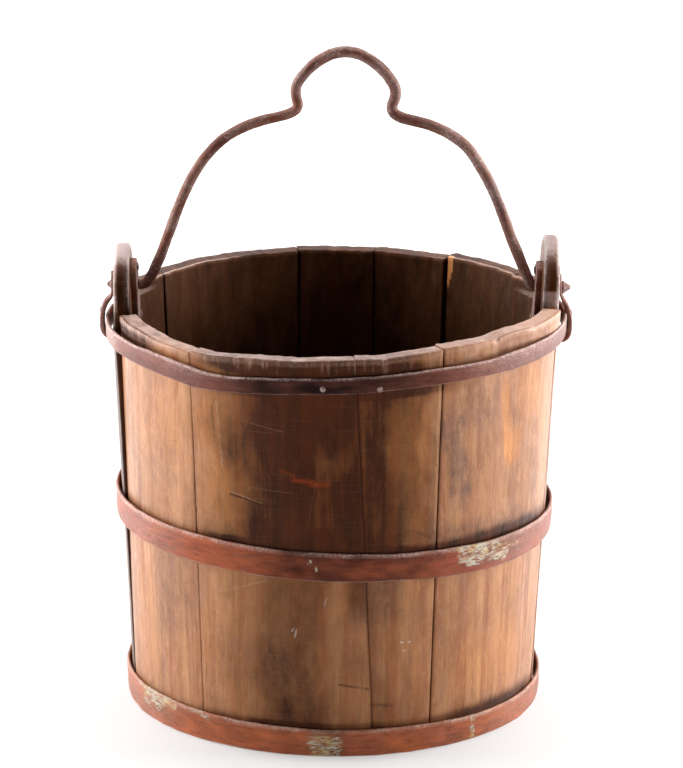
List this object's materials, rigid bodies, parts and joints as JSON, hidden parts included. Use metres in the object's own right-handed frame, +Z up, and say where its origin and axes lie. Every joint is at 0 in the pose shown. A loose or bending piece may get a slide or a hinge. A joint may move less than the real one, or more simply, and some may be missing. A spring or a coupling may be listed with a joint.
{
  "type": "staved wooden bucket",
  "caption": "Round bucket of upright wooden staves held by riveted iron hoops, with two raised ears and a forged iron bail that swings over the open top.",
  "frame": {"origin": "centre of the base, on the floor that the bucket stands on", "axes": "+Z up, X through both ears along the line that the bail swings about, -Y towards the front"},
  "size_m": [0.3546, 0.3345, 0.4988],
  "materials": {
    "stave_wood": "old oiled wood, worn at the rim, stained dark in places",
    "bottom_wood": "old dark wood",
    "hoop_iron": "red-brown rusted band iron with worn patches",
    "forged_iron": "forged iron, brown rust with bright worn edges"
  },
  "bodies": {
    "bucket": {"stave_01": "stave_wood", "stave_02": "stave_wood", "stave_03": "stave_wood", "stave_04": "stave_wood", "stave_05": "stave_wood", "stave_06": "stave_wood", "stave_07": "stave_wood", "stave_08": "stave_wood", "stave_09": "stave_wood", "stave_10": "stave_wood", "ear_stave_left": "stave_wood", "ear_stave_right": "stave_wood", "bottom_board_front": "bottom_wood", "bottom_board_middle": "bottom_wood", "bottom_board_rear": "bottom_wood", "bottom_dowels": "bottom_wood", "top_hoop": "hoop_iron", "middle_hoop": "hoop_iron", "bottom_hoop": "hoop_iron", "ear_plate_left": "forged_iron", "ear_plate_right": "forged_iron", "ear_strap_left": "forged_iron", "ear_strap_right": "forged_iron", "top_hoop_rivets": "forged_iron", "middle_hoop_rivets": "forged_iron", "bottom_hoop_rivets": "forged_iron", "top_hoop_nails": "forged_iron", "ear_plate_nails_left": "forged_iron", "ear_plate_nails_right": "forged_iron", "ear_strap_nail_left": "forged_iron", "ear_strap_nail_right": "forged_iron"},
    "bail": {"bail": "forged_iron"}
  },
  "joints": [
    {"name": "bail_swing", "type": "hinge", "parent": "bucket", "child": "bail", "pos_m": [0, 0, 0.3165], "axis": [1, 0, 0], "range_deg": [-92, 92]}
  ]
}
